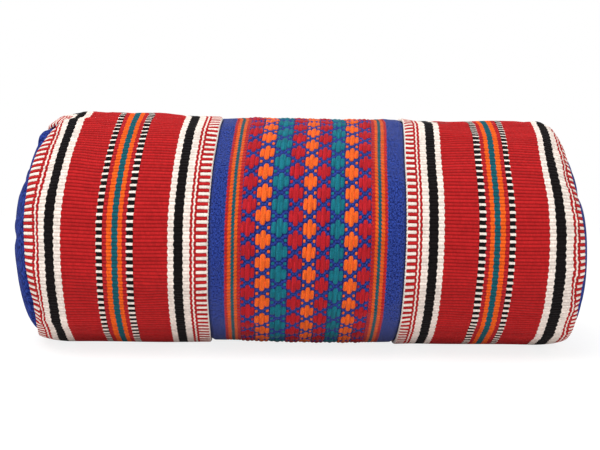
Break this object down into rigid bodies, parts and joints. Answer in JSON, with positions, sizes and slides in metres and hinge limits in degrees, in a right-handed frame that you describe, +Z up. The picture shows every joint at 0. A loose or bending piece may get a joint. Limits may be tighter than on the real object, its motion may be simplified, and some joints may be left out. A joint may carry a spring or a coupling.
{
  "type": "travel pouch",
  "caption": "Barrel-shaped zipped pouch of woven wool cloth with striped side panels, a flowered centre panel and plain round ends.",
  "frame": {"origin": "on the floor under the middle of the barrel", "axes": "+X along the barrel, -Y the front of the pouch, +Z up; the zip runs along X just behind the top"},
  "size_m": [0.2812, 0.115, 0.1139],
  "materials": {
    "striped_wool": "matte",
    "centre_wool": "matte",
    "plain_wool": "matte",
    "lining_cotton": "matte",
    "zip_tape": "matte",
    "zip_coil": "satin",
    "zip_metal": "satin"
  },
  "bodies": {
    "pouch": {"striped_panel_left": "striped_wool", "striped_panel_right": "striped_wool", "centre_panel": "centre_wool", "end_disc_left": "plain_wool", "end_disc_right": "plain_wool", "lining_barrel": "lining_cotton", "lining_end_left": "lining_cotton", "lining_end_right": "lining_cotton", "zip_tape_front": "zip_tape", "zip_tape_rear": "zip_tape", "zip_coil_front": "zip_coil", "zip_coil_rear": "zip_coil", "zip_top_stop_front": "zip_metal", "zip_top_stop_rear": "zip_metal", "zip_bottom_stop": "zip_metal", "zip_tab_left": "plain_wool", "zip_tab_right": "plain_wool"},
    "slider": {"zip_slider": "zip_metal"},
    "pull": {"zip_pull": "zip_metal"}
  },
  "joints": [
    {"name": "slider_slide", "type": "slide", "parent": "pouch", "child": "slider", "axis": [-1, 0, 0], "range_m": [0, 0.205]},
    {"name": "pull_hinge", "type": "hinge", "parent": "slider", "child": "pull", "pos_m": [0.104, 0.02722, 0.10733], "axis": [0, 0.8819, -0.4714], "range_deg": [0, 155]}
  ]
}
